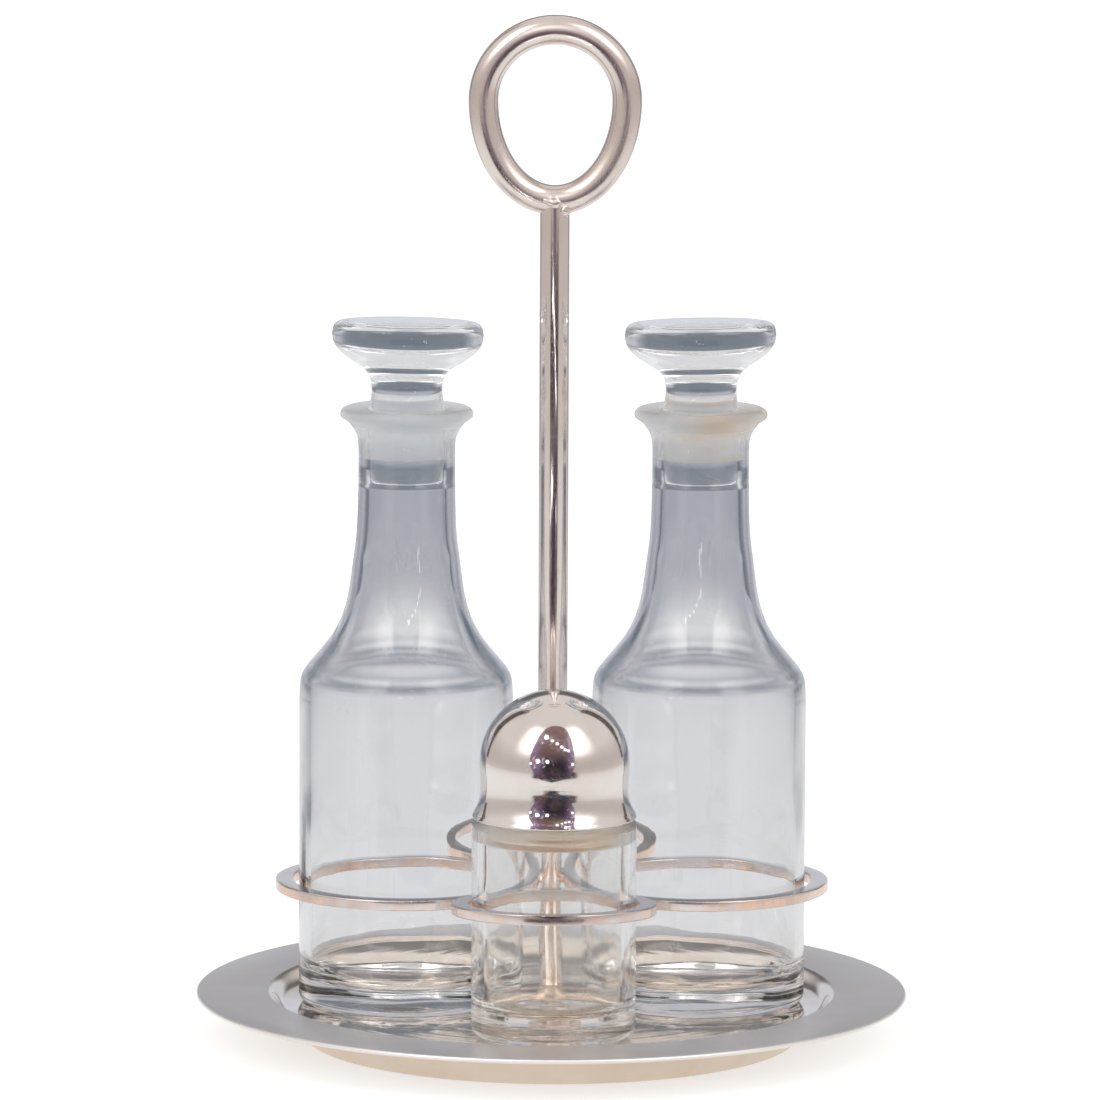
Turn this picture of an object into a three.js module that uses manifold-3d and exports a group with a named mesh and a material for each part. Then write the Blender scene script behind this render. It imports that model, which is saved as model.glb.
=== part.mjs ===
// Cruet set, in millimetres, +Z up, standing on z = 0 with its rod on the Z axis.
// A round tray on a foot ring carries a rod with a loop handle. Four strap rings on the rod hold two
// stoppered bottles (left and right) and a domed jar (front); the back ring is empty.
import * as THREE from "three";
import { mergeVertices } from "three/addons/utils/BufferGeometryUtils.js";
import Module from "manifold-3d";

const wasm = await Module();
wasm.setup();

// ---- driving dimensions ----
const GAP = 0.3; // left between pieces that touch
const TRAY_R = 91.2;
const TRAY_TOP = 12;
const TRAY_WALL = 1.2;
const WELL_R = 73.2; // where the flat flange ends
const FLOOR_R = 68.6;
const FLOOR_TOP = 9;
const FOOT_R = 63.4;
const FOOT_TOP_R = 67.4;
const FOOT_FLAT = 3; // width of the flat the set stands on
const ROD_R = 3.8;
const TAIL_R = 2.5; // threaded tail under the tray
const TAIL_END = 1.8;
const WASHER_R = 9;
const NUT_R = 5.2;
const LOOP_BAR_R = 3.8;
const LOOP_HALF = 18.25; // half-width of the loop's centre line
const LOOP_MID = 241.8; // height of its widest point
const LOOP_UP = 17.95;
const LOOP_DOWN = 25.5;
const RING_TOP = 41.2;
const POT_RING_LIFT = 0.8; // the pot rings are brazed a little higher than the bottle rings
const STRAP_H = 2.6;
const STRAP_W = 4.4;
const LARGE_R = 33.4; // outer radius of a bottle ring
const SMALL_R = 26; // outer radius of a pot ring
const SMALL_TILT = 3.5; // degrees, the pot rings rise away from the rod
const TILT_PIVOT = 25; // distance of the tilt line from the rod
const BOTTLE_R = 27.4;
const BOTTLE_WALL = 2.7;
const BOTTLE_FLOOR = 6;
const LIP_TOP = 163;
const PLUG_END = 144.3;
const PLUG_END_R = 9.1;
const PLUG_TOP_R = 9.7;
const JAR_R = 20.8;
const JAR_WALL = 3.7;
const JAR_FLOOR = 7;
const JAR_TOP = 65;
const DOME_R = 19;
const DOME_WALL = 1.1;
const DOME_EQUATOR = 78.8;
const SKIRT_R = 20.7;
const FLARE_TOP = 72.5; // the dome flares out to its skirt below this height
const COLLAR_R = 16.9;
const COLLAR_END = 59.5;
const COLLAR_WALL = 1.8;

// ---- places worked out from them ----
const BOTTLE_X = ROD_R + GAP + LARGE_R;
const POT_Y = Math.sqrt((LARGE_R + SMALL_R + GAP) ** 2 - BOTTLE_X ** 2);
const GLASS_BASE = FLOOR_TOP + GAP;
const BORE_SLOPE = (PLUG_TOP_R - PLUG_END_R) / (LIP_TOP - PLUG_END);

// ---- materials ----
const metal = (color, roughness) => new THREE.MeshStandardMaterial({ color, roughness, metalness: 1 });
const silver = metal(0xd8cec6, 0.12);
const steel = metal(0x9a9894, 0.4);
const glass = new THREE.MeshStandardMaterial({ color: 0xdfe8ec, roughness: 0.05, metalness: 0 });
const amber = new THREE.MeshStandardMaterial({ color: 0xb58a54, roughness: 0.35, metalness: 0 });
glass.transparent = true;
glass.opacity = 0.35;

// ---- outlines in the (r, z) half-plane ----
const arc = (r, z, radius, from, to, steps) =>
  Array.from({ length: steps + 1 }, (_, i) => {
    const angle = THREE.MathUtils.degToRad(from + ((to - from) * i) / steps);
    return [r + radius * Math.cos(angle), z + radius * Math.sin(angle)];
  });

const sCurve = (r0, z0, r1, z1, steps) =>
  Array.from({ length: steps + 1 }, (_, i) => {
    const t = i / steps;
    return [r0 + (r1 - r0) * t, z0 + ((z1 - z0) * (1 - Math.cos(Math.PI * t))) / 2];
  });

const smooth = (points, steps) =>
  new THREE.SplineCurve(points.map(([r, z]) => new THREE.Vector2(r, z)))
    .getPoints(steps)
    .map((p) => [p.x, p.y]);

// Turns an outline about Z. The outline runs with the solid on its left.
function turned(outline, segments) {
  const points = outline.map(([r, z]) => new THREE.Vector2(r, z));
  if (outline[0][0] > 0) points.push(points[0].clone());
  return new THREE.LatheGeometry(points, segments).rotateX(Math.PI / 2);
}

const body = new THREE.Group();

function piece(name, geometry, material, x = 0, y = 0, z = 0) {
  const mesh = new THREE.Mesh(geometry, material);
  mesh.name = name;
  mesh.position.set(x, y, z);
  body.add(mesh);
  return mesh;
}

// ---- joining and cutting ----
function toSolid(geometry) {
  const bare = geometry.clone().deleteAttribute("normal").deleteAttribute("uv");
  const merged = mergeVertices(bare, 1e-4);
  return new wasm.Manifold(
    new wasm.Mesh({
      numProp: 3,
      vertProperties: new Float32Array(merged.attributes.position.array),
      triVerts: new Uint32Array(merged.index.array),
    }),
  );
}

function fromSolid(solid) {
  const { vertProperties, triVerts } = solid.getMesh();
  const geometry = new THREE.BufferGeometry();
  geometry.setAttribute("position", new THREE.BufferAttribute(vertProperties, 3));
  geometry.setIndex(new THREE.BufferAttribute(triVerts, 1));
  geometry.computeVertexNormals();
  return geometry;
}

// ---- tray, foot and fastening ----
function trayOutline() {
  const hole = TAIL_R + GAP;
  const under = TRAY_WALL;
  return [
    [hole, FLOOR_TOP - under],
    ...sCurve(FLOOR_R, FLOOR_TOP - under, WELL_R, TRAY_TOP - under, 4),
    ...arc(TRAY_R - under / 2, TRAY_TOP - under / 2, under / 2, -90, 90, 4),
    ...sCurve(FLOOR_R, FLOOR_TOP, WELL_R, TRAY_TOP, 4).reverse(),
    [hole, FLOOR_TOP],
  ];
}

function footOutline() {
  const top = FLOOR_TOP - TRAY_WALL - GAP;
  const wall = 1.3;
  return [
    [FOOT_R - FOOT_FLAT, 0],
    ...arc(FOOT_R - wall, wall, wall, -90, 0, 3),
    [FOOT_TOP_R, top],
    [FOOT_TOP_R - wall, top],
    [FOOT_R - wall, wall],
    [FOOT_R - FOOT_FLAT, wall],
  ];
}

function annulus(inner, outer, low, high, chamfer = 0.2) {
  return [
    [inner, low],
    [outer - chamfer, low],
    [outer, low + chamfer],
    [outer, high - chamfer],
    [outer - chamfer, high],
    [inner, high],
  ];
}

function nutGeometry(height) {
  const sides = Array.from({ length: 6 }, (_, i) => (i * Math.PI) / 3);
  const hexagon = new THREE.Shape(
    sides.map((angle) => new THREE.Vector2(NUT_R * Math.cos(angle), NUT_R * Math.sin(angle))),
  );
  hexagon.holes.push(new THREE.Path().absarc(0, 0, TAIL_R + GAP, 0, 2 * Math.PI));
  return new THREE.ExtrudeGeometry(hexagon, { depth: height, bevelEnabled: false, curveSegments: 10 });
}

// ---- rod and loop handle ----
// The loop's centre line is two half ellipses, wider above than it is pointed below. The bar's two
// ends face each other across a narrow seam at the seam angle.
class LoopCurve extends THREE.Curve {
  constructor(seam) {
    super();
    this.seam = seam;
  }

  getPoint(t, target = new THREE.Vector3()) {
    const half = GAP / 2 / LOOP_HALF;
    const angle = this.seam + half + 2 * (Math.PI - half) * t;
    const rise = Math.sin(angle) > 0 ? LOOP_UP : LOOP_DOWN;
    return target.set(LOOP_HALF * Math.cos(angle), 0, LOOP_MID + rise * Math.sin(angle));
  }
}

function loopGeometry(radius, seam) {
  const section = new THREE.Shape();
  section.absarc(0, 0, radius, 0, 2 * Math.PI);
  return new THREE.ExtrudeGeometry(section, {
    extrudePath: new LoopCurve(seam),
    steps: 44,
    curveSegments: 10,
  });
}

function rodGeometry() {
  const shoulder = FLOOR_TOP + GAP;
  const top = LOOP_MID - LOOP_DOWN + ROD_R;
  const blank = turned([[0, TAIL_END], [TAIL_R, TAIL_END], [TAIL_R, shoulder], [ROD_R, shoulder],
    [ROD_R, top], [0, top]], 24);
  const cutter = toSolid(loopGeometry(LOOP_BAR_R + GAP, Math.PI / 2));
  const parts = toSolid(blank).subtract(cutter).decompose();
  parts.sort((a, b) => b.volume() - a.volume());
  return fromSolid(parts[0]);
}

// ---- strap rings ----
function ringGeometry(outer) {
  return turned(annulus(outer - STRAP_W, outer, RING_TOP - STRAP_H, RING_TOP), 44);
}

function potRing(name, side) {
  const geometry = ringGeometry(SMALL_R);
  const pivot = POT_Y - TILT_PIVOT;
  const tilt = THREE.MathUtils.degToRad(side * SMALL_TILT);
  geometry.translate(0, side * pivot, STRAP_H / 2 - RING_TOP).rotateX(tilt);
  piece(name, geometry, silver, 0, side * TILT_PIVOT, RING_TOP - STRAP_H / 2 + POT_RING_LIFT);
}

// ---- bottles ----
const SHOULDER = [
  [BOTTLE_R, 88], [27.0, 93.2], [25.4, 96.2], [22.6, 99.6], [19.2, 104], [16.6, 109],
  [14.9, 115], [13.7, 123.4], [12.7, 132], [12.4, 144], [12.4, 153.6], [13.2, 156.8], [14.9, 159.3],
];

function bottleOutline() {
  const base = GLASS_BASE;
  const outside = [
    [0, base + 0.8],
    [22.5, base],
    ...arc(BOTTLE_R - 2.4, base + 2.4, 2.4, -90, 0, 3),
    ...smooth(SHOULDER, 12),
    ...arc(15.4, LIP_TOP - 1.6, 1.6, -30, 90, 3),
  ];
  const bore = (z) => PLUG_END_R + BORE_SLOPE * (z - PLUG_END) + GAP;
  const shoulderInside = smooth(SHOULDER.slice(0, 10), 8)
    .map(([r, z]) => [Math.min(r - BOTTLE_WALL, BOTTLE_R - BOTTLE_WALL), z - 1.2])
    .reverse();
  const inner = BOTTLE_R - BOTTLE_WALL;
  const corner = 7;
  const floor = base + BOTTLE_FLOOR;
  const inside = [
    ...arc(bore(LIP_TOP) + 0.8, LIP_TOP - 0.8, 0.8, 90, 180, 2),
    [bore(PLUG_END), PLUG_END],
    ...shoulderInside,
    ...arc(inner - corner, floor + corner, corner, 0, -90, 3),
    [0, floor - 0.4],
  ];
  return [...outside, ...inside];
}

function stopperOutline() {
  return [
    [0, PLUG_END],
    ...arc(PLUG_END_R - 1, PLUG_END + 1, 1, -90, 0, 2),
    [PLUG_TOP_R, LIP_TOP],
    ...smooth([[PLUG_TOP_R, LIP_TOP + 0.5], [9.1, 166.4], [9.3, 170], [10.8, 172.6], [14.2, 174.9],
      [17.6, 177.2]], 7),
    ...arc(16.4, 181.6, 3, -30, 90, 4),
    [0, 184.6],
  ];
}

function bottle(side, name) {
  const x = side * BOTTLE_X;
  piece(`${name}_bottle`, turned(bottleOutline(), 32), glass, x);
  piece(`${name}_stopper`, turned(stopperOutline(), 28), glass, x);
}

// ---- jar and its lid ----
function jarOutline() {
  const base = GLASS_BASE;
  const inner = JAR_R - JAR_WALL;
  const rim = JAR_WALL / 2;
  return [
    [0, base + 0.6],
    [16, base],
    ...arc(JAR_R - 3, base + 3, 3, -90, 0, 3),
    ...arc(JAR_R - rim, JAR_TOP - rim, rim, 0, 180, 6),
    ...arc(inner - 4, base + JAR_FLOOR + 4, 4, 0, -90, 3),
    [0, base + JAR_FLOOR - 0.4],
  ];
}

function domeOutline() {
  const base = JAR_TOP + GAP;
  const inner = DOME_R - DOME_WALL;
  return [
    ...arc(SKIRT_R - 0.4, base + 0.4, 0.4, -90, 45, 3),
    ...smooth([[SKIRT_R - 0.9, base + 2], [DOME_R + 0.3, base + 4], [DOME_R, FLARE_TOP]], 4),
    ...arc(0, DOME_EQUATOR, DOME_R, 0, 90, 8),
    ...arc(0, DOME_EQUATOR, inner, 90, 0, 8),
    [inner, base],
  ];
}

function collarOutline() {
  const seat = JAR_TOP + GAP;
  const sleeve = DOME_R - DOME_WALL - GAP;
  const inner = COLLAR_R - COLLAR_WALL;
  const grooves = [60.6, 62.1, 63.6].flatMap((z) => [
    [COLLAR_R, z - 0.3], [COLLAR_R - 0.3, z], [COLLAR_R, z + 0.3],
  ]);
  return [
    [inner, COLLAR_END],
    [COLLAR_R - 0.3, COLLAR_END],
    ...grooves,
    [COLLAR_R, seat],
    [sleeve, seat],
    [sleeve, seat + 5],
    [inner, seat + 5],
  ];
}

// ---- assembly ----
piece("tray", turned(trayOutline(), 60), silver);
piece("foot_ring", turned(footOutline(), 44), silver);
piece("stem", rodGeometry(), silver);
piece("stem_washer", turned(annulus(TAIL_R + GAP, WASHER_R, 6.3, 7.5), 20), steel);
piece("stem_nut", nutGeometry(3.6), steel, 0, 0, 2.4);
piece("handle_loop", loopGeometry(LOOP_BAR_R, -Math.PI / 2), silver);
piece("left_bottle_ring", ringGeometry(LARGE_R), silver, -BOTTLE_X);
piece("right_bottle_ring", ringGeometry(LARGE_R), silver, BOTTLE_X);
potRing("front_pot_ring", -1);
potRing("back_pot_ring", 1);
bottle(-1, "left");
bottle(1, "right");
piece("front_jar", turned(jarOutline(), 32), glass, 0, -POT_Y);
piece("dome_lid", turned(domeOutline(), 32), silver, 0, -POT_Y);
piece("lid_collar", turned(collarOutline(), 28), amber, 0, -POT_Y);

export default body;
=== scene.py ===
"""Looks for the cruet set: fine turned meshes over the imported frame, procedural silver plate and glass."""
import math
from collections import namedtuple

import bmesh
import bpy
from mathutils import Euler, Matrix, Vector, noise


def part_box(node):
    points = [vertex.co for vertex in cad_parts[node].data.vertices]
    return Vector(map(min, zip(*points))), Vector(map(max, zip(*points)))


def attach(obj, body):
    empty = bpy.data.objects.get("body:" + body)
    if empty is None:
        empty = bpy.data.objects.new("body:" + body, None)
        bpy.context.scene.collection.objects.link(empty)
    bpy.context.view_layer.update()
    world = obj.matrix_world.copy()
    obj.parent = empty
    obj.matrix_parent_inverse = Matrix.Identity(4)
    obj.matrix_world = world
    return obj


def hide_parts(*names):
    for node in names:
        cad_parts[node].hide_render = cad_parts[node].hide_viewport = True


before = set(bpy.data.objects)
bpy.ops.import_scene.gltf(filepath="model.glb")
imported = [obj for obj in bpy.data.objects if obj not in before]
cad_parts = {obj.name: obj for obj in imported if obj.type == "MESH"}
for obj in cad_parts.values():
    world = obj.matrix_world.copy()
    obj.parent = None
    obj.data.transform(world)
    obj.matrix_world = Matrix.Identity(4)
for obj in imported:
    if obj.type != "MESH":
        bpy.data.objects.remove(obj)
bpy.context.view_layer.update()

MM = 0.001

# ---- places and sizes, in metres, read from the frame or repeated from the part ----
TRAY_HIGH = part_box("tray")[1]
TRAY_R = TRAY_HIGH.x
TRAY_TOP = TRAY_HIGH.z
TRAY_WALL = 1.2 * MM
WELL_R = 73.2 * MM
FLOOR_R = 68.6 * MM
FLOOR_TOP = 9 * MM
FOOT_R = 63.4 * MM
FOOT_TOP_R = 67.4 * MM
ROD_R = 3.8 * MM
LOOP_BAR_R = 3.8 * MM
LOOP_HALF = 18.25 * MM
LOOP_MID = 241.8 * MM
LOOP_UP = 17.95 * MM
LOOP_DOWN = 25.5 * MM
RING_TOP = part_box("left_bottle_ring")[1].z
STRAP_H = 2.6 * MM
STRAP_W = 4.4 * MM
LARGE_R = 33.4 * MM
SMALL_R = 26 * MM
SMALL_TILT = math.radians(3.5)
BOTTLE_R = 27.4 * MM
BOTTLE_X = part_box("right_bottle")[1].x - BOTTLE_R
BOTTLE_WALL = 2.7 * MM
GLASS_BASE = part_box("right_bottle")[0].z
LIP_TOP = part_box("right_bottle")[1].z
PLUG_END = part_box("right_stopper")[0].z
PLUG_END_R = 9.1 * MM
PLUG_TOP_R = 9.7 * MM
PLUG_GAP = 0.3 * MM
JAR_R = 20.8 * MM
JAR_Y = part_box("front_jar")[1].y - JAR_R
JAR_WALL = 3.7 * MM
JAR_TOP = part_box("front_jar")[1].z
DOME_R = 19 * MM
DOME_EQUATOR = 78.8 * MM
GROUND_LOW = 150.4 * MM
GROUND_HIGH = 163.3 * MM

# ---- light and colours of the stage ----
FLOOR_GLOW = 0.44
BACKDROP_R = 0.42
SLATE = (0.15, 0.175, 0.215)
WALL = (0.64, 0.67, 0.74)
PALE = (0.72, 0.72, 0.73)


# ---- camera ----
def make_camera():
    """A long lens looking slightly down."""
    distance = 2.6
    pitch = math.radians(8.67)
    yaw = math.radians(0.67)
    roll = math.radians(0.26)
    target = Vector((-0.85 * MM, 0, 126.28 * MM))
    focal_widths = 9.2486
    data = bpy.data.cameras.new("camera")
    data.sensor_width = 36
    data.lens = 36 * focal_widths
    data.clip_start = 0.05
    data.clip_end = 30
    camera = bpy.data.objects.new("camera", data)
    turn = Euler((math.pi / 2 - pitch, 0, -yaw)).to_matrix() @ Matrix.Rotation(roll, 3, "Z")
    camera.matrix_world = Matrix.Translation(target) @ turn.to_4x4() @ Matrix.Translation((0, 0, distance))
    bpy.context.scene.collection.objects.link(camera)
    bpy.context.scene.camera = camera


# ---- outlines in the (r, z) half-plane ----
def mm(*sizes):
    """Sizes in millimetres, in metres."""
    return tuple(size * MM for size in sizes)


def in_metres(points):
    return [mm(*point) for point in points]


def arc(r, z, radius, start, end, steps):
    angles = (math.radians(start + (end - start) * i / steps) for i in range(steps + 1))
    return [(r + radius * math.cos(a), z + radius * math.sin(a)) for a in angles]


def s_curve(r0, z0, r1, z1, steps):
    ts = [i / steps for i in range(steps + 1)]
    return [(r0 + (r1 - r0) * t, z0 + (z1 - z0) * (1 - math.cos(math.pi * t)) / 2) for t in ts]


def smooth(points, steps):
    """Points on the Catmull-Rom curve through the given ones."""
    last = len(points) - 1
    out = []
    for i in range(steps + 1):
        place = last * i / steps
        k = min(int(place), last - 1)
        t = place - k
        p = [Vector(points[min(max(k + j, 0), last)]) for j in (-1, 0, 1, 2)]
        v0 = (p[2] - p[0]) / 2
        v1 = (p[3] - p[1]) / 2
        bend = (2 * p[1] - 2 * p[2] + v0 + v1) * t ** 3 + (-3 * p[1] + 3 * p[2] - 2 * v0 - v1) * t ** 2
        point = bend + v0 * t + p[1]
        out.append((point.x, point.y))
    return out


def rounded(corners):
    """A closed outline whose corners (r, z, radius) are filleted."""
    steps = 5
    out = []
    count = len(corners)
    for i, (r, z, radius) in enumerate(corners):
        here = Vector((r, z))
        if radius == 0:
            out.append((r, z))
            continue
        back = (Vector(corners[i - 1][:2]) - here).normalized()
        on = (Vector(corners[(i + 1) % count][:2]) - here).normalized()
        half = back.angle(on) / 2
        reach = radius / math.tan(half)
        start = here + back * reach
        end = here + on * reach
        for k in range(steps + 1):
            t = k / steps
            point = start * (1 - t) ** 2 + here * 2 * t * (1 - t) + end * t ** 2
            out.append((point.x, point.y))
    return out


def inset(points, wall):
    """The points moved inward by the wall, and down by more where the line through them leans over."""
    out = []
    last = len(points) - 1
    for i, (r, z) in enumerate(points):
        along = Vector(points[min(i + 1, last)]) - Vector(points[max(i - 1, 0)])
        along.normalize()
        out.append((r - wall, z - wall * (0.1 + 0.5 * abs(along.x))))
    return out


# ---- making pieces ----
def link_new(name, data):
    """A new object, linked to the scene."""
    piece = bpy.data.objects.new(name, data)
    bpy.context.scene.collection.objects.link(piece)
    return piece


def add_mesh(name, verts, faces, material, body, sharp=35):
    mesh = bpy.data.meshes.new(name)
    mesh.from_pydata(verts, [], faces)
    mesh.validate()
    mesh.shade_smooth()
    mesh.set_sharp_from_angle(angle=math.radians(sharp))
    mesh.materials.append(material)
    piece = link_new(name, mesh)
    if body is not None:
        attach(piece, body)
    return piece


def turned(outline, segments, centre=(0, 0)):
    """Vertices and faces of an outline turned about the vertical through centre."""
    x0, y0 = centre
    on_axis = 1e-7
    verts = []
    rings = []
    for r, z in outline:
        if r < on_axis:
            rings.append([len(verts)] * segments)
            verts.append((x0, y0, z))
            continue
        rings.append(list(range(len(verts), len(verts) + segments)))
        for k in range(segments):
            angle = 2 * math.pi * k / segments
            verts.append((x0 + r * math.cos(angle), y0 + r * math.sin(angle), z))
    pairs = [(i, i + 1) for i in range(len(outline) - 1)]
    if outline[0][0] > on_axis:
        pairs.append((len(outline) - 1, 0))
    faces = []
    for i, j in pairs:
        for k in range(segments):
            n = (k + 1) % segments
            corners = [rings[i][k], rings[i][n], rings[j][n], rings[j][k]]
            face = list(dict.fromkeys(corners))
            if len(face) > 2:
                faces.append(face)
    return verts, faces


def lathe(name, outline, material, body, segments, centre=(0, 0), sharp=35):
    verts, faces = turned(outline, segments, centre)
    return add_mesh(name, verts, faces, material, body, sharp)


# ---- node trees ----
class Nodes:
    """A short way to write a node tree: each call adds nodes and links what it is given."""

    def __init__(self, owner):
        """owner is a world, or the name of a new material."""
        self.owner = bpy.data.materials.new(owner) if isinstance(owner, str) else owner
        self.owner.use_nodes = True
        self.tree = self.owner.node_tree
        self.tree.nodes.clear()

    def add(self, kind, inputs=None, **settings):
        node = self.tree.nodes.new(kind)
        for key, value in settings.items():
            setattr(node, key, value)
        for key, value in (inputs or {}).items():
            self.feed(node.inputs[key], value)
        return node

    def feed(self, socket, value):
        if isinstance(value, bpy.types.Node):
            value = value.outputs[0]
        if isinstance(value, bpy.types.NodeSocket):
            self.tree.links.new(value, socket)
        else:
            socket.default_value = value

    def math(self, operation, a, b=0.0, c=0.0):
        return self.add("ShaderNodeMath", {0: a, 1: b, 2: c}, operation=operation)

    def plus(self, a, b):
        return self.math("ADD", a, b)

    def minus(self, a, b):
        return self.math("SUBTRACT", a, b)

    def times(self, a, b):
        return self.math("MULTIPLY", a, b)

    def size(self, a):
        return self.math("ABSOLUTE", a)

    def length(self, vector):
        return self.add("ShaderNodeVectorMath", {0: vector}, operation="LENGTH").outputs["Value"]

    def flat(self, x, y):
        """The length of (x, y)."""
        return self.length(self.add("ShaderNodeCombineXYZ", {"X": x, "Y": y}))

    def axes(self, space="Object"):
        """The X, Y and Z outputs of a place in a texture space."""
        where = self.add("ShaderNodeTexCoord")
        return self.add("ShaderNodeSeparateXYZ", {0: where.outputs[space]}).outputs

    def place(self, scale=(1, 1, 1)):
        where = self.add("ShaderNodeTexCoord")
        return self.add("ShaderNodeMapping", {"Vector": where.outputs["Object"], "Scale": scale})

    def noise(self, scale, detail=2.0, roughness=0.5, stretch=(1, 1, 1)):
        inputs = {"Vector": self.place(stretch), "Scale": scale, "Detail": detail, "Roughness": roughness}
        return self.add("ShaderNodeTexNoise", inputs)

    def rings(self, radius, scale, detail):
        """Noise that changes with the radius alone."""
        node = self.add("ShaderNodeTexNoise", {"Scale": scale, "Detail": detail}, noise_dimensions="1D")
        self.feed(node.inputs["W"], radius)
        return node

    def ramp(self, value, low, high, out_low=0.0, out_high=1.0):
        inputs = {"Value": value, "From Min": low, "From Max": high, "To Min": out_low, "To Max": out_high}
        return self.add("ShaderNodeMapRange", inputs, interpolation_type="SMOOTHSTEP")

    def angle_ramp(self, value, low, high, out_low=0.0, out_high=1.0):
        """A ramp between two angles in degrees."""
        return self.ramp(value, math.radians(low), math.radians(high), out_low, out_high)

    def band(self, value, low, high, soft_low, soft_high):
        """1 between low and high, easing to 0 over a soft distance at each end."""
        rise = self.ramp(value, low - soft_low / 2, low + soft_low / 2)
        fall = self.ramp(value, high - soft_high / 2, high + soft_high / 2, 1.0, 0.0)
        return self.times(rise, fall)

    def mix(self, factor, a, b):
        """Two colours mixed; each is a socket or (r, g, b)."""
        node = self.add("ShaderNodeMix", data_type="RGBA")
        self.feed(node.inputs["Factor"], factor)
        for key, colour in (("A", a), ("B", b)):
            self.feed(node.inputs[key], (*colour, 1) if isinstance(colour, tuple) else colour)
        return node.outputs["Result"]

    def layers(self, base, over):
        """A base colour with each (share, colour) laid over the ones before it."""
        colour = base
        for share, layer in over:
            colour = self.mix(share, colour, layer)
        return colour

    def blend(self, factor, a, b):
        """Two shaders mixed."""
        return self.add("ShaderNodeMixShader", {0: factor, 1: a, 2: b})

    def bump(self, strength, distance, height):
        return self.add("ShaderNodeBump", {"Strength": strength, "Distance": distance, "Height": height})

    def metal(self, colour, rough, bump):
        inputs = {"Base Color": colour, "Roughness": rough, "Metallic": 1.0, "Normal": bump}
        return self.finish(self.add("ShaderNodeBsdfPrincipled", inputs))

    def finish(self, shader):
        world = isinstance(self.owner, bpy.types.World)
        output = self.add("ShaderNodeOutputWorld" if world else "ShaderNodeOutputMaterial")
        self.feed(output.inputs["Surface"], shader)
        return self.owner


# ---- materials ----
COOL_SILVER = (0.83, 0.78, 0.755)
WARM_SILVER = (0.80, 0.725, 0.695)
WORN = (0.93, 0.90, 0.87)
TARNISH = (0.50, 0.40, 0.38)
BARE_COPPER = (0.86, 0.60, 0.46)

# Glass is ground between the heights low and high, within radius of the axis (x either side, y), and at any
# radius above the flare height. grit is the range of its roughness, stain the tint of its patches.
Ground = namedtuple("Ground", "low high flare radius axis grit stain")


def scratches(n, scale, width, seed):
    """A thin bright net of long hairline scratches, 0 to 1."""
    turn = n.add("ShaderNodeMapping", {"Vector": n.place(), "Rotation": (seed, 2.3 * seed, 0.7 * seed)})
    warp = n.add("ShaderNodeTexNoise", {"Vector": turn, "Scale": scale * 0.35, "Detail": 2.0})
    stretched = n.add("ShaderNodeMapping", {"Vector": turn, "Scale": (1, 9, 9)})
    moved = n.add("ShaderNodeVectorMath", {0: stretched, 1: warp.outputs["Color"]}, operation="ADD")
    cells = n.add("ShaderNodeTexVoronoi", {"Vector": moved, "Scale": scale}, feature="DISTANCE_TO_EDGE")
    return n.ramp(cells.outputs["Distance"], 0.0, width, 1.0, 0.0)


def show_copper(n, copper, colour, rough):
    """Tarnish, and base metal that shows through, on upright faces."""
    normal = n.add("ShaderNodeNewGeometry").outputs["Normal"]
    rise = n.add("ShaderNodeSeparateXYZ", {0: normal}).outputs["Z"]
    upright = n.ramp(n.size(rise), 0.15, 0.6, 1.0, 0.0)
    bare = n.times(upright, n.ramp(n.noise(62.0, 5.0, 0.7), 0.50 - copper, 0.62))
    tarnish = n.times(upright, n.ramp(n.noise(30.0, 3.0, 0.6), 0.40, 0.62, 0.15, 0.85))
    colour = n.layers(colour, [(tarnish, TARNISH), (n.times(bare, 0.85), BARE_COPPER)])
    return colour, n.plus(rough, n.times(bare, 0.10))


def silver_plate(name, roughness, satin, copper=0.0, tone=COOL_SILVER):
    """Worn silver plate. satin is the roughness that patches add, copper how much base metal shows."""
    n = Nodes(name)
    clouds = n.noise(38.0, 4.0, 0.6)
    hairs = scratches(n, 90.0, 0.010, 0.8)
    rough = n.plus(n.plus(n.ramp(clouds, 0.42, 0.72, 0.0, satin), roughness), n.times(hairs, 0.10))
    worn_tone = tuple(c * f for c, f in zip(tone, WORN))
    colour = n.mix(n.ramp(clouds, 0.35, 0.75), tone, worn_tone)
    if copper:
        colour, rough = show_copper(n, copper, colour, rough)
    swell = n.plus(n.times(clouds, 0.35), n.times(n.noise(420.0, 3.0, 0.6), 0.03))
    nicks = n.times(n.plus(hairs, scratches(n, 60.0, 0.008, 2.1)), 0.05)
    return n.metal(colour, rough, n.bump(0.12, 0.6 * MM, n.minus(swell, nicks)))


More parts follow.
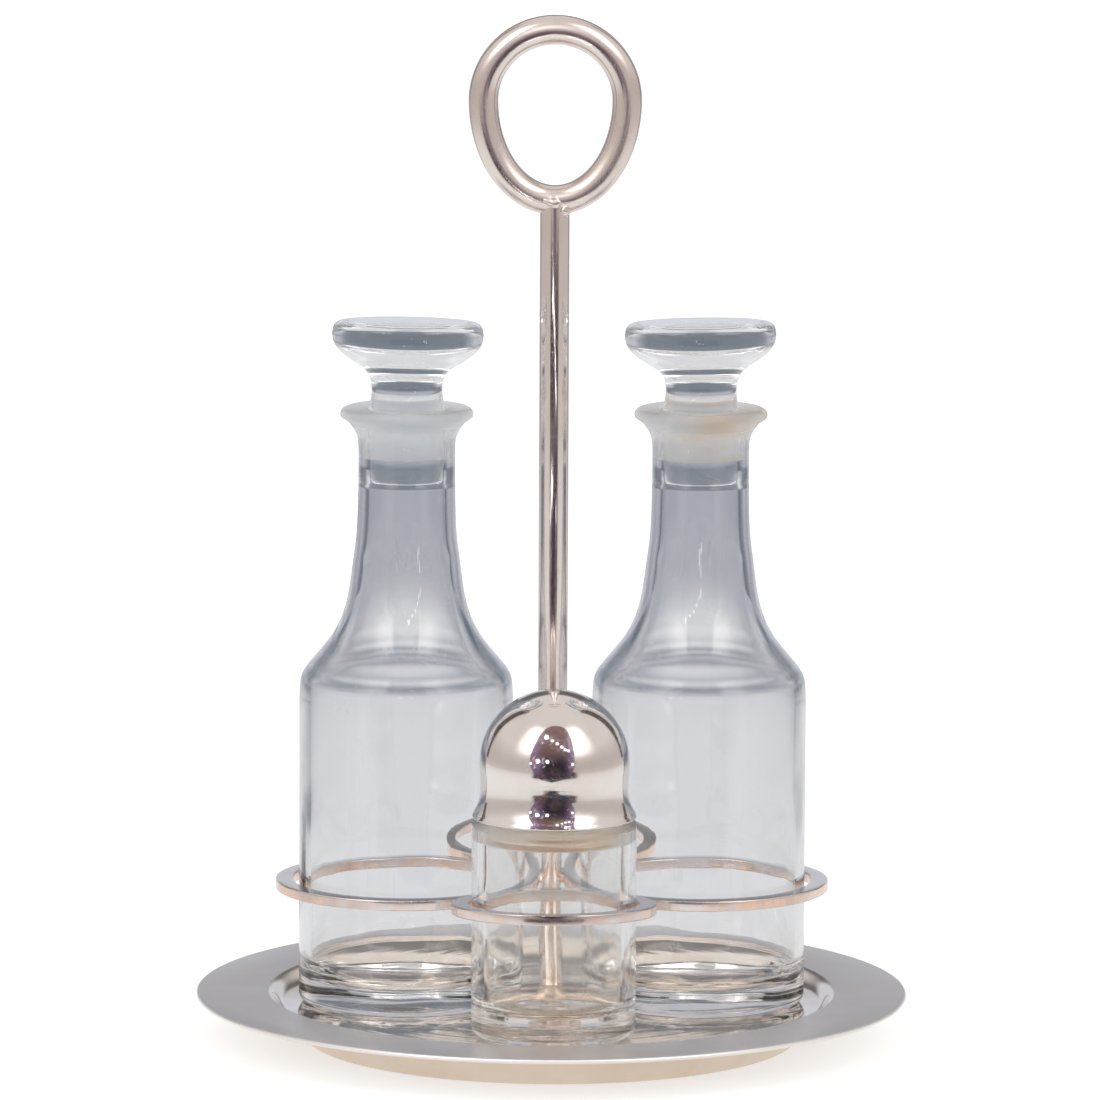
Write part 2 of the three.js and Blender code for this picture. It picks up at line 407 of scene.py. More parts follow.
def spun_tray():
    """Silver plate on spun metal: a satin flange round a polished well, with faint turning marks."""
    n = Nodes("tray_silver")
    at = n.axes()
    radius = n.flat(at["X"], at["Y"])
    on_flange = n.ramp(radius, WELL_R - 1.5 * MM, WELL_R + 0.5 * MM)
    clouds = n.noise(30.0, 4.0, 0.6)
    rough = n.plus(n.ramp(clouds, 0.3, 0.75, 0.05, 0.12), n.times(on_flange, 0.27))
    rough = n.plus(rough, n.times(scratches(n, 70.0, 0.010, 0.8), 0.06))
    worn = n.ramp(clouds, 0.35, 0.75)
    flange = n.mix(worn, (0.95, 0.935, 0.94), (0.89, 0.865, 0.86))
    well = n.mix(worn, (0.95, 0.90, 0.84), (0.82, 0.72, 0.63))
    waves = n.times(n.rings(radius, 160.0, 2.0), n.ramp(on_flange, 0.0, 1.0, 2.2, 0.8))
    marks = n.times(n.rings(radius, 900.0, 3.0), 0.06)
    grain = n.times(n.times(n.noise(2600.0, 2.0, 0.6), on_flange), 0.09)
    bump = n.bump(0.15, 0.6 * MM, n.plus(n.plus(waves, marks), grain))
    return n.metal(n.mix(on_flange, well, flange), rough, bump)


def ground_share(n, at, ground):
    """1 where the glass is ground, 0 where it is clear."""
    wobble = n.times(n.minus(n.noise(90.0, 3.0), 0.5), 1.2 * MM)
    level = n.plus(at["Z"], wobble)
    band = n.band(level, ground.low, ground.high, 0.4 * MM, 0.4 * MM)
    off_axis = n.flat(n.minus(n.size(at["X"]), ground.axis[0]), n.minus(at["Y"], ground.axis[1]))
    reach = n.ramp(level, ground.flare, ground.flare + 1 * MM, ground.radius, ground.radius + 12 * MM)
    return n.times(band, n.ramp(n.minus(reach, off_axis), -0.2 * MM, 0.2 * MM))


def glass_colour(n, at, tint, foot, ground, share):
    """The tint, easing to another at the foot, with stained patches on one side of the ground part."""
    patches = n.ramp(n.noise(60.0, 4.0, 0.6, stretch=(1, 1, 3)), 0.36, 0.60)
    middle = ground.axis[0]
    stained = n.times(patches, n.ramp(at["X"], middle - 14 * MM, middle + 8 * MM))
    low_down = n.ramp(at["Z"], 12 * MM, 30 * MM, 1.0, 0.0)
    return n.layers(tint, [
        (low_down, foot),
        (share, tuple(0.97 * t for t in tint)),
        (n.times(share, stained), ground.stain),
    ])


def glass_roughness(n, at, haze, ground, share, grain):
    """Worn hairlines, a cloudy haze, a rubbed shoulder and the ground part."""
    hairs = n.times(scratches(n, 48.0, 0.008, 1.4), n.ramp(n.noise(55.0, 2.0), 0.50, 0.62))
    cloudy = n.ramp(n.noise(40.0, 3.0), 0.3, 0.7, 0.4 * haze, 1.3 * haze)
    rubbed = n.times(n.band(at["Z"], 86 * MM, 104 * MM, 6 * MM, 10 * MM), 0.08)
    rough = n.plus(n.times(hairs, 0.30), n.plus(cloudy, rubbed))
    return n.math("MAXIMUM", rough, n.times(share, n.ramp(grain, 0.2, 0.8, *ground.grit)))


def glass_relief(n, at, ripples, share, grain):
    """Waves and upright streaks, most at the foot, and the grain of the ground part."""
    wave = n.noise(34.0, 1.5, 0.45, stretch=(1, 1, 0.6))
    streaks = n.noise(420.0, 2.0, 0.5, stretch=(1, 1, 0.02))
    low_down = n.ramp(at["Z"], 30 * MM, 90 * MM, 1.0, 0.15)
    waved = n.bump(0.5, ripples, n.times(n.plus(wave, n.times(streaks, 0.012)), low_down))
    relief = n.bump(0.10, 0.08 * MM, n.times(grain, share))
    n.feed(relief.inputs["Normal"], waved)
    return relief


def clear_glass(name, tint, foot, ripples, haze, ground):
    """Solid clear glass. ripples is the height of the waves in its surface, haze its dullness."""
    n = Nodes(name)
    at = n.axes()
    share = ground_share(n, at, ground)
    ground_lines = n.noise(420.0, 2.0, 0.6, stretch=(1, 1, 5))
    grain = n.math("MULTIPLY_ADD", ground_lines, 0.6, n.times(n.noise(2200.0, 2.0, 0.7), 0.4))
    glass = n.add("ShaderNodeBsdfPrincipled", {
        "Base Color": glass_colour(n, at, tint, foot, ground, share),
        "Roughness": glass_roughness(n, at, haze, ground, share, grain),
        "IOR": 1.5,
        "Transmission Weight": 1.0,
        "Normal": glass_relief(n, at, ripples, share, grain),
    })
    here_and_there = n.ramp(n.noise(150.0, 2.0), 0.54, 0.60, 0.0, 0.55)
    dashes = n.times(scratches(n, 60.0, 0.004, 2.6), here_and_there)
    chipped = n.add("ShaderNodeBsdfDiffuse", {"Color": (0.9, 0.9, 0.9, 1)})
    marked = n.blend(dashes, glass, chipped)
    clear = n.add("ShaderNodeBsdfTransparent", {"Color": (0.93, 0.94, 0.95, 1)})
    path = n.add("ShaderNodeLightPath")
    return n.finish(n.blend(path.outputs["Is Shadow Ray"], marked, clear))


def amber_collar():
    """Pale aged amber plastic with thin darker lines round it."""
    n = Nodes("amber_collar")
    streaks = n.noise(90.0, 3.0, 0.6, stretch=(0.3, 0.3, 9))
    stains = n.ramp(n.noise(60.0, 3.0), 0.35, 0.65, 0.3, 1.0)
    dark = n.times(n.ramp(streaks, 0.48, 0.62), stains)
    shader = n.add("ShaderNodeBsdfPrincipled", {
        "Base Color": n.mix(dark, (0.94, 0.85, 0.75), (0.66, 0.46, 0.32)),
        "Roughness": n.ramp(n.noise(240.0, 3.0), 0.3, 0.7, 0.22, 0.40),
        "Coat Weight": 0.4,
        "Normal": n.bump(0.15, 0.4 * MM, streaks),
    })
    return n.finish(shader)


def turned_steel():
    """Plain steel with fine turning marks."""
    n = Nodes("turned_steel")
    marks = n.noise(900.0, 3.0, 0.6, stretch=(1, 1, 0.1))
    patches = n.ramp(n.noise(120.0, 4.0, 0.6), 0.35, 0.7)
    colour = n.mix(patches, (0.58, 0.57, 0.55), (0.40, 0.37, 0.34))
    return n.metal(colour, n.ramp(marks, 0.3, 0.7, 0.25, 0.45), n.bump(0.3, 0.2 * MM, marks))


# ---- tray, foot and fastening ----
def make_tray(silver):
    hole = 2.8 * MM
    edge = TRAY_WALL / 2
    outline = [
        (hole, FLOOR_TOP - TRAY_WALL),
        *s_curve(FLOOR_R, FLOOR_TOP - TRAY_WALL, WELL_R, TRAY_TOP - TRAY_WALL, 14),
        *arc(TRAY_R - edge, TRAY_TOP - edge, edge, -90, 90, 10),
        *reversed(s_curve(FLOOR_R, FLOOR_TOP, WELL_R, TRAY_TOP, 14)),
        (hole, FLOOR_TOP),
    ]
    piece = lathe("tray_plate", outline, silver, "stand", 192, sharp=50)
    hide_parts("tray")


def make_foot(silver):
    top = FLOOR_TOP - TRAY_WALL - 0.3 * MM
    wall = 1.3 * MM
    outline = rounded([
        (FOOT_R - 3 * MM, 0, 0.3 * MM),
        (FOOT_R, 0, 1.2 * MM),
        (FOOT_TOP_R, top, 0),
        (FOOT_TOP_R - wall, top, 0),
        (FOOT_R - wall, wall, 0.8 * MM),
        (FOOT_R - 3 * MM, wall, 0.3 * MM),
    ])
    piece = lathe("foot_rim", outline, silver, "stand", 160)
    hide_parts("foot_ring")


def finish_fastening(steel):
    for node in ("stem_washer", "stem_nut"):
        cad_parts[node].data.materials.clear()
        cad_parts[node].data.materials.append(steel)


# ---- rod and loop ----
def make_stem(silver):
    tail_r = 2.5 * MM
    shoulder = FLOOR_TOP + 0.3 * MM
    top = LOOP_MID - LOOP_DOWN
    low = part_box("stem")[0].z
    outline = [
        (0, low),
        (tail_r - 0.4 * MM, low),
        (tail_r, low + 0.4 * MM),
        (tail_r, shoulder),
        *arc(ROD_R - 0.3 * MM, shoulder + 0.3 * MM, 0.3 * MM, -90, 0, 4),
        (ROD_R, top),
        (0, top),
    ]
    piece = lathe("stem_rod", outline, silver, "stand", 64)
    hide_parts("stem")


def make_loop(silver):
    """The bar's section swept round the loop's centre line, closed on itself."""
    steps = 160
    sides = 40
    verts = []
    for i in range(steps):
        angle = 2 * math.pi * i / steps
        rise = LOOP_UP if math.sin(angle) > 0 else LOOP_DOWN
        centre = Vector((LOOP_HALF * math.cos(angle), 0, LOOP_MID + rise * math.sin(angle)))
        along = Vector((-LOOP_HALF * math.sin(angle), 0, rise * math.cos(angle))).normalized()
        out = Vector((along.z, 0, -along.x))
        for k in range(sides):
            turn = 2 * math.pi * k / sides
            verts.append(centre + LOOP_BAR_R * (out * math.cos(turn) + Vector((0, math.sin(turn), 0))))
    faces = []
    for i in range(steps):
        j = (i + 1) % steps
        for k in range(sides):
            n = (k + 1) % sides
            faces.append([i * sides + k, i * sides + n, j * sides + n, j * sides + k])
    piece = add_mesh("loop_bar", verts, faces, silver, "stand")
    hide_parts("handle_loop")


def make_braze(name, centre, size, silver, seed):
    """A small uneven bead of braze metal."""
    bm = bmesh.new()
    bmesh.ops.create_icosphere(bm, subdivisions=4, radius=1)
    for v in bm.verts:
        bulge = 1 + 0.22 * noise.noise(v.co * 1.6 + Vector((seed, 0, 0)))
        v.co = Vector(centre) + Vector(a * b for a, b in zip(v.co * bulge, size))
    mesh = bpy.data.meshes.new(name)
    bm.to_mesh(mesh)
    bm.free()
    mesh.shade_smooth()
    mesh.materials.append(silver)
    piece = link_new(name, mesh)
    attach(piece, "stand")


def make_brazing(silver):
    """Beads where the loop meets the rod, the large rings meet the rod, and the rings meet each other."""
    make_braze("loop_braze", mm(-0.6, -2.5, 216.1), mm(3.1, 1.7, 2.0), silver, 0)
    make_braze("loop_drip", mm(2.6, -2.6, 214.0), mm(1.4, 1.5, 1.7), silver, 2)
    meet = LARGE_R / (LARGE_R + SMALL_R)
    for k, side in enumerate((-1, 1)):
        at_rod = (side * 3.9 * MM, 0, RING_TOP - 1.4 * MM)
        make_braze(f"rod_braze_{k}", at_rod, mm(1.5, 3.4, 1.3), silver, 3 + k)
        for j, end in enumerate((-1, 1)):
            valley = (side * BOTTLE_X * (1 - meet), end * abs(JAR_Y) * meet, RING_TOP - 1.0 * MM)
            make_braze(f"ring_braze_{k}{j}", valley, mm(2.6, 2.6, 1.5), silver, 7 + 2 * k + j)


# ---- strap rings ----
def strap_outline(outer, top):
    edge = 0.35 * MM
    return rounded([
        (outer - STRAP_W, top - STRAP_H, edge),
        (outer, top - STRAP_H, edge),
        (outer, top, edge),
        (outer - STRAP_W, top, edge),
    ])


def make_bottle_ring(node, x, silver):
    outline = strap_outline(LARGE_R, RING_TOP)
    piece = lathe(node + "_strap", outline, silver, "stand", 160, (x, 0))
    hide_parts(node)


def make_pot_ring(node, side, silver):
    """A small ring, tilted to rise away from the rod, centred on its CAD node's box."""
    low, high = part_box(node)
    centre = (low + high) / 2
    verts, faces = turned(strap_outline(SMALL_R, STRAP_H / 2), 144)
    tilt = Matrix.Translation(centre) @ Matrix.Rotation(side * SMALL_TILT, 4, "X")
    verts = [tilt @ Vector(v) for v in verts]
    piece = add_mesh(node + "_strap", verts, faces, silver, "stand")
    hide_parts(node)


# ---- bottles and stoppers ----
SHOULDER = [(27.4, 88), (27.0, 93.2), (25.4, 96.2), (22.6, 99.6), (19.2, 104), (16.6, 109), (14.9, 115),
            (13.7, 123.4), (12.7, 132), (12.4, 144), (12.4, 153.6), (13.2, 156.8), (14.9, 159.3)]


def bottle_outline():
    shoulder = in_metres(SHOULDER)
    bore_slope = (PLUG_TOP_R - PLUG_END_R) / (LIP_TOP - PLUG_END)
    bore_top = PLUG_TOP_R + PLUG_GAP
    corner = 7 * MM
    inner = BOTTLE_R - BOTTLE_WALL
    floor = GLASS_BASE + 6 * MM
    inside = inset(smooth(shoulder[:10], 60), BOTTLE_WALL)
    neck = [(PLUG_END_R + PLUG_GAP + bore_slope * d * MM, PLUG_END + d * MM) for d in (14, 10, 5, 0)]
    return [
        (0, GLASS_BASE + 0.8 * MM),
        (14 * MM, GLASS_BASE + 0.6 * MM),
        (22 * MM, GLASS_BASE + 0.1 * MM),
        (23.4 * MM, GLASS_BASE),
        *arc(BOTTLE_R - 2.4 * MM, GLASS_BASE + 2.4 * MM, 2.4 * MM, -90, 0, 10),
        (BOTTLE_R, 40 * MM),
        (BOTTLE_R, 65 * MM),
        *smooth(shoulder, 60),
        *arc(15.4 * MM, LIP_TOP - 1.6 * MM, 1.6 * MM, -30, 90, 14),
        *arc(bore_top + 0.8 * MM, LIP_TOP - 0.8 * MM, 0.8 * MM, 90, 180, 6),
        *neck,
        *reversed(inside),
        (inner, 65 * MM),
        (inner, 38 * MM),
        *arc(inner - corner, floor + corner, corner, 0, -90, 14),
        (9 * MM, floor - 0.25 * MM),
        (0, floor - 0.4 * MM),
    ]


def stopper_outline():
    body = in_metres([(9.7, 163.5), (9.1, 166.4), (9.3, 170), (10.8, 172.6), (14.2, 174.9),
                      (16.2, 176.3), (17.6, 177.6), (18.6, 178.9), (19.1, 180.1), (19.35, 181.8)])
    return [
        (0, PLUG_END),
        *arc(PLUG_END_R - 1 * MM, PLUG_END + 1 * MM, 1 * MM, -90, 0, 8),
        (PLUG_END_R + 0.2 * MM, PLUG_END + 6 * MM),
        (PLUG_END_R + 0.4 * MM, PLUG_END + 12 * MM),
        (PLUG_TOP_R, LIP_TOP),
        *smooth(body, 72),
        *arc(16.9 * MM, 182.7 * MM, 2.3 * MM, 10, 90, 16),
        (0, 185 * MM),
    ]


def lean(verts, centre, low, high, back, aside):
    """Turn what is above high by small angles (degrees) about a point on the axis, easing in from low."""
    pivot = Vector((*centre, low))
    out = []
    for v in verts:
        share = min(max((v[2] - low) / (high - low), 0), 1)
        turn = Euler((-math.radians(back) * share, math.radians(aside) * share, 0)).to_matrix()
        out.append(pivot + turn @ (Vector(v) - pivot))
    return out


def make_bottles(bottle_glass, stopper_glass):
    for side, name in ((-1, "left"), (1, "right")):
        centre = (side * BOTTLE_X, 0)
        flask = lathe(name + "_flask", bottle_outline(), bottle_glass, name + "_bottle", 160, centre, 60)
        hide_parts(name + "_bottle")
        verts, faces = turned(stopper_outline(), 144, centre)
        verts = lean(verts, centre, 170 * MM, 174 * MM, 3.2, -side)
        plug = add_mesh(name + "_disc_stopper", verts, faces, stopper_glass, name + "_stopper", 60)
        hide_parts(name + "_stopper")


# ---- jar and lid ----
def make_jar(glass):
    inner = JAR_R - JAR_WALL
    rim = JAR_WALL / 2
    floor = GLASS_BASE + 7 * MM
    outline = [
        (0, GLASS_BASE + 0.6 * MM),
        (10 * MM, GLASS_BASE + 0.45 * MM),
        (16 * MM, GLASS_BASE),
        *arc(JAR_R - 3 * MM, GLASS_BASE + 3 * MM, 3 * MM, -90, 0, 10),
        (JAR_R, 40 * MM),
        *arc(JAR_R - rim, JAR_TOP - rim, rim, 0, 180, 18),
        (inner, 40 * MM),
        *arc(inner - 4 * MM, floor + 4 * MM, 4 * MM, 0, -90, 10),
        (0, floor - 0.4 * MM),
    ]
    piece = lathe("jar_glass", outline, glass, "jar", 144, (0, JAR_Y), 60)
    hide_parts("front_jar")


LID_INNER = DOME_R - 1.1 * MM
LID_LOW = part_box("dome_lid")[0].z
FLARE = [(20.4, 66.5), (20.0, 67.2), (19.6, 68.1), (19.25, 69.2), (18.96, 70.5), (18.78, 72), (18.72, 73.7),
         (18.77, 75.4)]


def make_dome(silver):
    """The lid's shell: a rolled edge, a flare and a dome."""
    edge = 0.4 * MM
    outline = [
        *arc(20.7 * MM - edge, LID_LOW + edge, edge, -90, 45, 6),
        *smooth(in_metres(FLARE), 40),
        *arc(0, DOME_EQUATOR, DOME_R, -6, 90, 56),
        *arc(0, DOME_EQUATOR, LID_INNER, 90, 0, 24),
        (LID_INNER, LID_LOW),
    ]
    piece = lathe("lid_dome", outline, silver, "lid", 160, (0, JAR_Y), 60)
    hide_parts("dome_lid")


def make_collar(amber):
    """The lid's grooved collar, which stands in the jar's mouth."""
    low = 59.5 * MM
    radius = 16.9 * MM
    bore = radius - 1.8 * MM
    sleeve = LID_INNER - 0.3 * MM
    groove = 0.3 * MM
    grooves = []
    for z in mm(60.6, 62.1, 63.6):
        grooves += arc(radius, z, groove, -90, -270, 6)
    outline = [
        (bore, low),
        (radius - 0.3 * MM, low),
        *grooves,
        (radius, LID_LOW),
        (sleeve, LID_LOW),
        (sleeve, LID_LOW + 5 * MM),
        (bore, LID_LOW + 5 * MM),
    ]
    piece = lathe("lid_liner", outline, amber, "lid", 144, (0, JAR_Y))
    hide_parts("lid_collar")


# ---- stage ----
def window(n, azimuth, elevation, sides, heights):
    """1 inside a soft-edged window of the sky, 0 outside. sides and heights are each the low and high edge
    and the softness of both, in degrees."""
    across = n.band(azimuth, *(math.radians(a) for a in sides))
    upright = n.band(elevation, *(math.radians(a) for a in heights))
    return n.times(across, upright)


def far_lights(n, scale, dark, bright):
    """Blurred lights a long way off."""
    lights = n.ramp(n.add("ShaderNodeTexNoise", {"Scale": scale, "Detail": 2.0}), 0.54, 0.66)
    return n.mix(lights, dark, bright)


def room_mirrored(n, azimuth, elevation, softboxes):
    """The room as the silver and the glass's surfaces reflect it."""
    aside = n.size(azimuth)
    ceiling = n.angle_ramp(elevation, 4, 30)
    wall = window(n, aside, elevation, (140, 200, 30, 1), (-30, 14, 1, 6))
    shadow = window(n, aside, elevation, (150, 200, 26, 1), (14, 36, 6, 6))
    doorway = window(n, aside, elevation, (125, 138, 5, 4), (-30, 57, 5, 4))
    far_end = window(n, azimuth, elevation, (-14, 11, 8, 8), (-30, 2, 1, 3))
    return n.layers((0.60, 0.56, 0.54), [
        (ceiling, (0.80, 0.77, 0.75)),
        (wall, WALL),
        (shadow, (0.15, 0.145, 0.15)),
        (doorway, (0.10, 0.08, 0.08)),
        (far_end, far_lights(n, 26.0, (0.26, 0.19, 0.25), (1.0, 0.88, 1.1))),
        (softboxes, (2.7, 2.6, 2.5)),
    ])


def room_through(n, azimuth, elevation, softboxes):
    """The room as it is seen through the glass."""
    behind = window(n, n.size(azimuth), elevation, (85, 200, 30, 1), (-90, 8, 1, 10))
    return n.layers(PALE, [
        (behind, (0.42, 0.44, 0.49)),
        (softboxes, (3.4, 3.3, 3.2)),
    ])


def make_room():
    """White to the camera; to the rest a pale room with two softboxes and a slate wall behind."""
    world = bpy.data.worlds.new("room")
    bpy.context.scene.world = world
    n = Nodes(world)
    at = n.axes("Generated")
    azimuth = n.math("ARCTAN2", at["X"], n.times(at["Y"], -1.0))
    elevation = n.math("ARCSINE", at["Z"])
    softboxes = window(n, n.size(azimuth), elevation, (27, 60, 5, 34), (24, 60, 22, 16))
    mirrored = room_mirrored(n, azimuth, elevation, softboxes)
    through = room_through(n, azimuth, elevation, softboxes)
    path = n.add("ShaderNodeLightPath")
    colour = n.mix(path.outputs["Is Transmission Ray"], mirrored, through)
    colour = n.mix(path.outputs["Is Camera Ray"], colour, (1, 1, 1))
    n.finish(n.add("ShaderNodeBackground", {"Color": colour}))


def only_seen_by(piece, rays):
    """Put a piece on the stage for one kind of ray: glossy for the silver, transmission for the glass."""
    for kind in ("camera", "diffuse", "glossy", "transmission", "shadow", "volume_scatter"):
        setattr(piece, "visible_" + kind, kind == rays)


def slate_screen():
    """Slate, paler at the foot, clear at its edges."""
    n = Nodes("backdrop_slate")
    at = n.axes()
    azimuth = n.size(n.math("ARCTAN2", at["X"], at["Y"]))
    colour = n.mix(n.ramp(at["Z"], 0.09, 0.125), (0.42, 0.43, 0.48), SLATE)
    solid = n.times(n.band(at["Z"], 0.07, 0.46, 0.06, 0.10), n.angle_ramp(azimuth, 35, 55, 1.0, 0.0))
    slate = n.add("ShaderNodeEmission", {"Color": colour})
    clear = n.add("ShaderNodeBsdfTransparent")
    return n.finish(n.blend(solid, clear, slate))


def make_backdrop():
    """The slate backdrop seen through the glass: a screen curving round the back."""
    spans = 48
    verts = []
    for k in range(spans + 1):
        a = math.radians(30 + 120 * k / spans)
        verts += [(BACKDROP_R * math.cos(a), BACKDROP_R * math.sin(a), z) for z in (0.02, 0.54)]
    faces = [[2 * k, 2 * k + 2, 2 * k + 3, 2 * k + 1] for k in range(spans)]
    only_seen_by(add_mesh("backdrop", verts, faces, slate_screen(), None), "transmission")


def sky_point(centre, azimuth, elevation, distance):
    """A place seen from centre at an azimuth (0 at the camera) and elevation in degrees."""
    a = math.radians(azimuth)
    e = math.radians(elevation)
    direction = Vector((math.sin(a) * math.cos(e), -math.cos(a) * math.cos(e), math.sin(e)))
    return centre + distance * direction


DOME_CENTRE = Vector((0, JAR_Y, DOME_EQUATOR))
GAP_REACH = 130 * MM
GAP_MIDDLE = Vector((-3, 22))
GAP_EDGE = [(-4, -16), (-21, -12), (-32, -1), (-37, 12), (-36, 29), (-33, 46), (-28, 57), (-15, 65),
            (10, 66), (28, 60), (31, 46), (30, 30), (29, 16), (27, 2), (18, -10), (-4, -16)]
LAMPS = [(-17, 48, 2.6), (-5, 43, 1.5), (4, 39, 1.5), (11, 34, 1.4), (16, 30, 1.4), (21, 28, 1.5),
         (-25, 13, 2.6), (-11, 13, 2.0), (-35, 9, 1.3), (25, 9, 1.3)]


def dark_gap():
    """Near black with brown and violet in it, clear where it is not seen square on."""
    n = Nodes("camera_gap")
    at = n.axes()
    colour = n.layers((0.035, 0.03, 0.04), [
        (n.ramp(at["Z"], 0.095, 0.16), (0.24, 0.16, 0.17)),
        (n.ramp(n.size(at["X"]), 0.025, 0.065), (0.28, 0.19, 0.36)),
        (n.ramp(at["Z"], 0.05, 0.10, 0.75, 0.0), (0.03, 0.035, 0.06)),
        (n.ramp(n.noise(26.0, 3.0), 0.45, 0.70, 0.0, 0.7), (0.20, 0.11, 0.09)),
    ])
    gap = n.add("ShaderNodeEmission", {"Color": colour})
    facing = n.add("ShaderNodeLayerWeight", {"Blend": 0.5}).outputs["Facing"]
    clear = n.add("ShaderNodeBsdfTransparent")
    return n.finish(n.blend(n.ramp(facing, 0.04, 0.10), gap, clear))


def make_camera_gap():
    """The dark gap round the camera that the dome reflects: part of a sphere about the dome."""
    edge = smooth(GAP_EDGE, 64)[:-1]
    count = len(edge)
    steps = 12
    verts = [sky_point(DOME_CENTRE, *GAP_MIDDLE, GAP_REACH)]
    for ring in range(1, steps + 1):
        shrunk = [GAP_MIDDLE + (Vector(p) - GAP_MIDDLE) * ring / steps for p in edge]
        verts += [sky_point(DOME_CENTRE, *p, GAP_REACH) for p in shrunk]
    faces = []
    for k in range(count):
        after = (k + 1) % count
        faces.append([0, 1 + k, 1 + after])
        for ring in range(steps - 1):
            start = 1 + ring * count
            faces.append([start + k, start + count + k, start + count + after, start + after])
    only_seen_by(add_mesh("camera_gap", verts, faces, dark_gap(), None), "glossy")


def make_lamps():
    """Small lamps in front of the gap, each (azimuth, elevation, width) in degrees as the dome sees it."""
    bm = bmesh.new()
    for azimuth, elevation, width in LAMPS:
        place = Matrix.Translation(sky_point(DOME_CENTRE, azimuth, elevation, GAP_REACH - 3 * MM))
        radius = GAP_REACH * math.radians(width)
        bmesh.ops.create_icosphere(bm, subdivisions=2, radius=radius, matrix=place)
    mesh = bpy.data.meshes.new("lamps")
    bm.to_mesh(mesh)
    bm.free()
    n = Nodes("lamp_glow")
    mesh.materials.append(n.finish(n.add("ShaderNodeEmission", {"Strength": 7.0})))
    only_seen_by(link_new("lamps", mesh), "glossy")


def make_front_card():
    """A soft white card high in front, lighting the loop; the camera gap hides it from the dome."""
    low = Vector((-0.10, 0.35))
    high = Vector((0.06, 0.54))
    ahead = -0.33
    soft = 0.05
    n = Nodes("front_card")
    at = n.axes()
    across = n.band(at["X"], low.x, high.x, soft, soft)
    upright = n.band(at["Z"], low.y, high.y, soft, soft)
    glow = n.add("ShaderNodeEmission", {"Color": (1, 0.97, 0.95, 1), "Strength": 1.3})
    clear = n.add("ShaderNodeBsdfTransparent")
    material = n.finish(n.blend(n.times(across, upright), clear, glow))
    x0, z0 = low - Vector((soft, soft))
    x1, z1 = high + Vector((soft, soft))
    corners = [(x0, ahead, z0), (x1, ahead, z0), (x1, ahead, z1), (x0, ahead, z1)]
    only_seen_by(add_mesh("front_card", corners, [[0, 1, 2, 3]], material, None), "glossy")


def table_mirrored(n, ahead, azimuth, distance, behind):
    """The table as the silver and the glass's surfaces reflect it: painted shadow under the tray, and
    painted fall-off of light that darkens it with distance.
    """
    # far is the painted fall-off of light, from 25 cm out to 1.2 m
    far = n.ramp(distance, 0.25, 1.2)
    beyond = n.ramp(ahead, 1.40, 1.50)
    at_camera = n.angle_ramp(azimuth, 27, 35, 1.0, 0.0)
    edge = n.times(n.minus(n.ramp(ahead, 0.36, 0.39), beyond), at_camera)
    flank = n.times(far, n.band(azimuth, math.radians(128), math.radians(142), 0.08, 0.08))
    middle = n.times(beyond, n.angle_ramp(azimuth, 7, 15, 1.0, 0.0))
    edge_colour = n.mix(n.angle_ramp(azimuth, 4, 12), (0.12, 0.08, 0.09), (0.07, 0.05, 0.06))
    # Painted shade and light: a warm painted shadow within 7 cm of the middle, under the tray, lifted to lit
    # near white by 13 cm, then painted darker with distance
    return n.layers((0.78, 0.69, 0.58), [
        (n.ramp(distance, 0.07, 0.13), (0.95, 0.95, 0.94)),
        (far, (0.64, 0.60, 0.57)),
        (n.times(far, behind), WALL),
        (n.times(flank, 0.8), (0.22, 0.18, 0.17)),
        (edge, edge_colour),
        (middle, far_lights(n, 5.0, (0.20, 0.15, 0.19), (1.0, 0.85, 1.1))),
    ])


def table_through(n, azimuth, distance, behind):
    """The table as it is seen through the glass, with painted fall-off of light: pale near the set, painted
    darker with distance towards slate.
    """
    # Each colour below is painted darker with distance, as the light falls off
    ahead_of = n.mix(n.ramp(distance, 0.5, 1.2), PALE, (0.55, 0.56, 0.59))
    side_on = n.mix(n.ramp(distance, 0.35, 0.75), PALE, (0.12, 0.14, 0.18))
    straight_on = n.layers((0.72, 0.72, 0.74), [
        (n.ramp(distance, 0.45, 0.85), (0.36, 0.37, 0.42)),
        (n.ramp(distance, 0.85, 1.15), SLATE),
    ])
    beside = n.angle_ramp(azimuth, 55, 85)
    return n.mix(behind, n.mix(beside, ahead_of, side_on), straight_on)


def white_paper(n):
    """Matt paper with a little light of its own."""
    paper = n.add("ShaderNodeBsdfPrincipled", {
        "Base Color": (0.80, 0.83, 0.86, 1),
        "Roughness": 0.9,
        "Specular IOR Level": 0.0,
        "Normal": n.bump(0.05, 0.2 * MM, n.noise(300.0, 3.0)),
    })
    glow = n.add("ShaderNodeEmission", {"Strength": FLOOR_GLOW})
    return n.add("ShaderNodeAddShader", {0: paper, 1: glow})


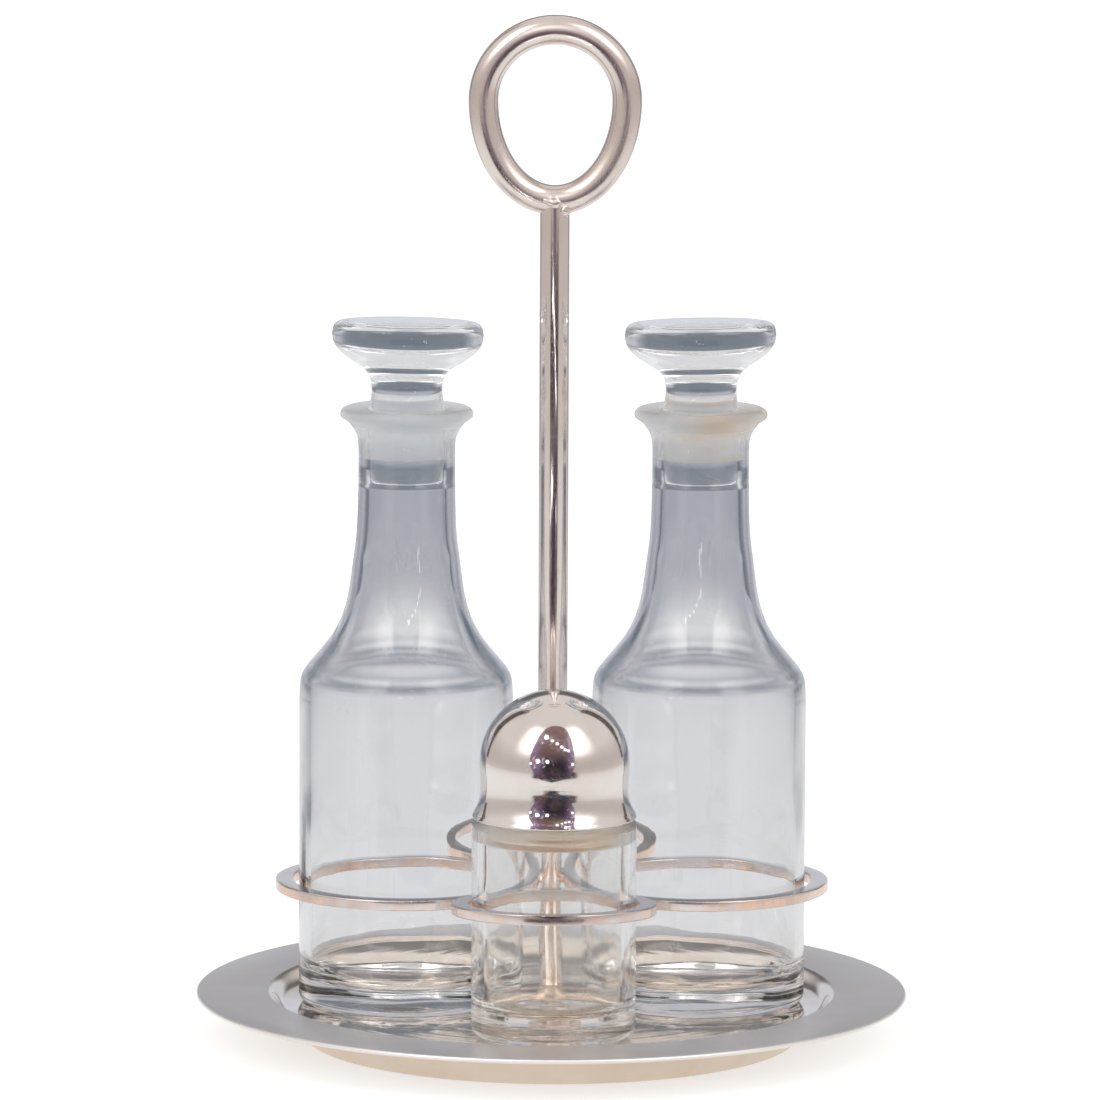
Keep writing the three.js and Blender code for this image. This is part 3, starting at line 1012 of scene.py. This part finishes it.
def make_floor():
    """White paper to the camera; to the silver and the glass, a glowing table with its light and shade
    painted in.
    """
    n = Nodes("floor_paper")
    where = n.add("ShaderNodeTexCoord")
    at = n.axes()
    distance = n.length(where.outputs["Object"])
    ahead = n.times(at["Y"], -1.0)
    azimuth = n.size(n.math("ARCTAN2", at["X"], ahead))
    behind = n.angle_ramp(azimuth, 120, 165)
    mirrored = table_mirrored(n, ahead, azimuth, distance, behind)
    through = table_through(n, azimuth, distance, behind)
    path = n.add("ShaderNodeLightPath")
    colour = n.mix(path.outputs["Is Transmission Ray"], mirrored, through)
    # The table is an emission: its painted light and shade glow by themselves
    table = n.add("ShaderNodeEmission", {"Color": colour})
    material = n.finish(n.blend(path.outputs["Is Camera Ray"], table, white_paper(n)))
    radius = 4
    below = -0.05 * MM
    angles = [math.tau * k / 96 for k in range(96)]
    rim = [(radius * math.cos(a), radius * math.sin(a), below) for a in angles]
    add_mesh("floor", rim, [list(range(96))], material, None)


# ---- the set ----
def make_stand(polished):
    strap = silver_plate("worn_strap_silver", 0.10, 0.08, copper=0.12)
    rod = silver_plate("rod_silver", 0.08, 0.08, tone=WARM_SILVER)
    bar = silver_plate("loop_silver", 0.15, 0.12, tone=WARM_SILVER)
    make_tray(spun_tray())
    make_foot(polished)
    finish_fastening(turned_steel())
    make_stem(rod)
    make_loop(bar)
    make_brazing(bar)
    make_bottle_ring("left_bottle_ring", -BOTTLE_X, strap)
    make_bottle_ring("right_bottle_ring", BOTTLE_X, strap)
    make_pot_ring("front_pot_ring", -1, strap)
    make_pot_ring("back_pot_ring", 1, strap)


def make_glass():
    joint = Ground(low=GROUND_LOW, high=GROUND_HIGH, flare=158 * MM, radius=11.5 * MM,
                   axis=(BOTTLE_X, 0), grit=(0.42, 0.60), stain=(0.94, 0.80, 0.64))
    mouth = Ground(low=59.3 * MM, high=65.2 * MM, flare=63 * MM, radius=18 * MM,
                   axis=(0, JAR_Y), grit=(0.25, 0.40), stain=(0.95, 0.87, 0.75))
    clear = (0.975, 0.983, 0.987)
    bottle = clear_glass("bottle_glass", clear, (0.965, 0.95, 0.93), 4 * MM, 0.0, joint)
    stopper = clear_glass("stopper_glass", clear, clear, 3 * MM, 0.0, joint)
    make_bottles(bottle, stopper)
    jar = clear_glass("jar_glass", (0.97, 0.967, 0.958), (0.975, 0.945, 0.90), 3.5 * MM, 0.06, mouth)
    make_jar(jar)


def main():
    make_camera()
    polished = silver_plate("polished_silver", 0.05, 0.05)
    make_stand(polished)
    make_glass()
    make_dome(polished)
    make_collar(amber_collar())
    make_room()
    make_backdrop()
    make_camera_gap()
    make_lamps()
    make_front_card()
    make_floor()
    scene = bpy.context.scene
    scene.view_settings.view_transform = "Standard"
    bounces = 24
    scene.cycles.glossy_bounces = bounces
    scene.cycles.transmission_bounces = bounces
    scene.cycles.max_bounces = bounces
    scene.cycles.transparent_max_bounces = bounces


main()
